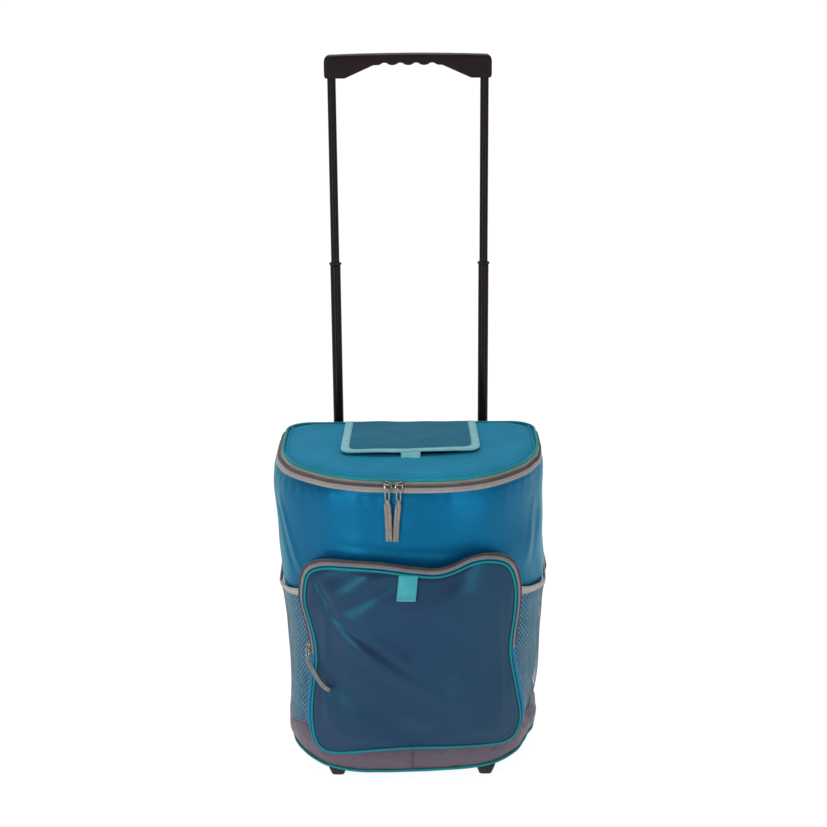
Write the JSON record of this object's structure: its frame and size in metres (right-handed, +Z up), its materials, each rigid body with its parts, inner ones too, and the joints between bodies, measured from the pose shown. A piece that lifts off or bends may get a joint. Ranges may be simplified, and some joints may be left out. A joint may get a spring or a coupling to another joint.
{
  "type": "wheeled cooler bag",
  "caption": "Soft insulated cooler bag on a wheeled frame with a telescopic handle, zipped lid, hatch flap, zipped front pocket and mesh side pockets.",
  "frame": {"origin": "on the ground, under the middle of the whole object's box", "axes": "+Z up, -Y the front with the pocket, +Y the back with the handle and wheels, +X to the right of a person facing the front"},
  "size_m": [0.341, 0.3272, 0.8939],
  "materials": {
    "body_blue": "satin nylon",
    "lid_blue": "satin nylon",
    "pocket_navy": "satin nylon with a teal sheen",
    "flap_teal": "satin nylon",
    "binding_turquoise": "woven tape",
    "piping_teal": "satin",
    "base_grey": "woven nylon",
    "mesh_grey": "knitted mesh",
    "elastic_grey": "matte elastic",
    "cord_grey": "braided cord",
    "zip_grey": "woven tape and nylon coil",
    "slider_metal": "plated",
    "foam_white": "matte closed-cell foam",
    "liner_silver": "silvered film",
    "board_black": "matte",
    "tube_black": "gloss black",
    "plastic_black": "satin",
    "grip_black": "satin",
    "foot_black": "satin",
    "tyre_black": "matte",
    "axle_steel": "bright"
  },
  "bodies": {
    "bag_and_frame": {"body_shell": "body_blue", "base_board": "board_black", "insulation": "foam_white", "liner": "liner_silver", "base_band": "base_grey", "base_piping": "piping_teal", "body_zip_tape": "zip_grey", "pocket_gusset": "body_blue", "pocket_zip_tape": "zip_grey", "pocket_panel": "pocket_navy", "pocket_piping": "piping_teal", "pocket_tab": "binding_turquoise", "mesh_pocket_left": "mesh_grey", "mesh_pocket_right": "mesh_grey", "mesh_binding_left": "elastic_grey", "mesh_binding_right": "elastic_grey", "outer_tube_left": "tube_black", "outer_tube_right": "tube_black", "outer_collar_left": "plastic_black", "outer_collar_right": "plastic_black", "back_board": "board_black", "handle_bracket": "plastic_black", "back_sleeve": "body_blue", "corner_bracket_left": "plastic_black", "corner_bracket_right": "plastic_black", "base_runner_left": "tube_black", "base_runner_right": "tube_black", "foot_left": "foot_black", "foot_right": "foot_black", "axle": "axle_steel", "axle_cap_left": "plastic_black", "axle_cap_right": "plastic_black"},
    "lid": {"lid_cover": "lid_blue", "lid_foam": "foam_white", "lid_liner": "liner_silver", "lid_piping": "piping_teal", "lid_zip_tape": "zip_grey"},
    "hatch": {"hatch_flap": "flap_teal", "hatch_binding": "binding_turquoise", "hatch_tab": "binding_turquoise"},
    "lid_slider_left_body": {"lid_slider_left": "slider_metal"},
    "lid_slider_right_body": {"lid_slider_right": "slider_metal"},
    "lid_pull_left_body": {"lid_pull_left": "cord_grey"},
    "lid_pull_right_body": {"lid_pull_right": "cord_grey"},
    "pocket_slider_body": {"pocket_slider": "slider_metal"},
    "pocket_pull_body": {"pocket_pull": "cord_grey"},
    "middle_stage": {"middle_tube_left": "tube_black", "middle_tube_right": "tube_black", "middle_collar_left": "plastic_black", "middle_collar_right": "plastic_black"},
    "upper_stage": {"upper_tube_left": "tube_black", "upper_tube_right": "tube_black", "grip": "grip_black"},
    "upper_lock": {"upper_lock_button": "plastic_black"},
    "lower_lock": {"lower_lock_button": "plastic_black"},
    "wheel_left": {"wheel_hub_left": "plastic_black", "wheel_tyre_left": "tyre_black"},
    "wheel_right": {"wheel_hub_right": "plastic_black", "wheel_tyre_right": "tyre_black"}
  },
  "joints": [
    {"name": "middle_stage_slide", "type": "slide", "parent": "bag_and_frame", "child": "middle_stage", "axis": [0, 0, 1], "range_m": [-0.2, 0]},
    {"name": "upper_stage_slide", "type": "slide", "parent": "middle_stage", "child": "upper_stage", "axis": [0, 0, 1], "range_m": [-0.232, 0]},
    {"name": "upper_lock_press", "type": "slide", "parent": "middle_stage", "child": "upper_lock", "axis": [0.309, 0.9511, 0], "range_m": [0, 0.0011], "stiffness_N_per_m": 400, "springref_m": -0.0005},
    {"name": "lower_lock_press", "type": "slide", "parent": "bag_and_frame", "child": "lower_lock", "axis": [0, -1, 0], "range_m": [0, 0.0013], "stiffness_N_per_m": 400, "springref_m": -0.0005},
    {"name": "wheel_left_spin", "type": "hinge", "parent": "bag_and_frame", "child": "wheel_left", "pos_m": [-0.129, 0.13658, 0.027], "axis": [1, 0, 0], "continuous": true},
    {"name": "wheel_right_spin", "type": "hinge", "parent": "bag_and_frame", "child": "wheel_right", "pos_m": [0.129, 0.13658, 0.027], "axis": [1, 0, 0], "continuous": true},
    {"name": "lid_hinge", "type": "hinge", "parent": "bag_and_frame", "child": "lid", "pos_m": [0, 0.10608, 0.409], "axis": [-1, 0, 0], "range_deg": [0, 90]},
    {"name": "hatch_hinge", "type": "hinge", "parent": "lid", "child": "hatch", "pos_m": [0, 0.10068, 0.4153], "axis": [-1, 0, 0], "range_deg": [0, 110]},
    {"name": "lid_slider_left_travel", "type": "hinge", "parent": "bag_and_frame", "child": "lid_slider_left_body", "pos_m": [0, 0.09149, 0.404], "axis": [0, 0, -1], "range_deg": [0, 26]},
    {"name": "lid_slider_right_travel", "type": "hinge", "parent": "bag_and_frame", "child": "lid_slider_right_body", "pos_m": [0, 0.09149, 0.404], "axis": [0, 0, 1], "range_deg": [0, 36]},
    {"name": "lid_pull_left_swing", "type": "hinge", "parent": "lid_slider_left_body", "child": "lid_pull_left_body", "pos_m": [-0.02649, -0.13739, 0.4022], "axis": [-0.9934, 0.1149, 0], "range_deg": [0, 90]},
    {"name": "lid_pull_right_swing", "type": "hinge", "parent": "lid_slider_right_body", "child": "lid_pull_right_body", "pos_m": [-0.01286, -0.13856, 0.4022], "axis": [-0.9984, 0.0558, 0], "range_deg": [0, 90]},
    {"name": "pocket_slider_travel", "type": "slide", "parent": "bag_and_frame", "child": "pocket_slider_body", "axis": [0, 0, 1], "range_m": [0, 0.07]},
    {"name": "pocket_pull_swing", "type": "hinge", "parent": "pocket_slider_body", "child": "pocket_pull_body", "pos_m": [-0.1356, -0.1113, 0.195], "axis": [-1, 0, 0], "range_deg": [0, 90]}
  ]
}
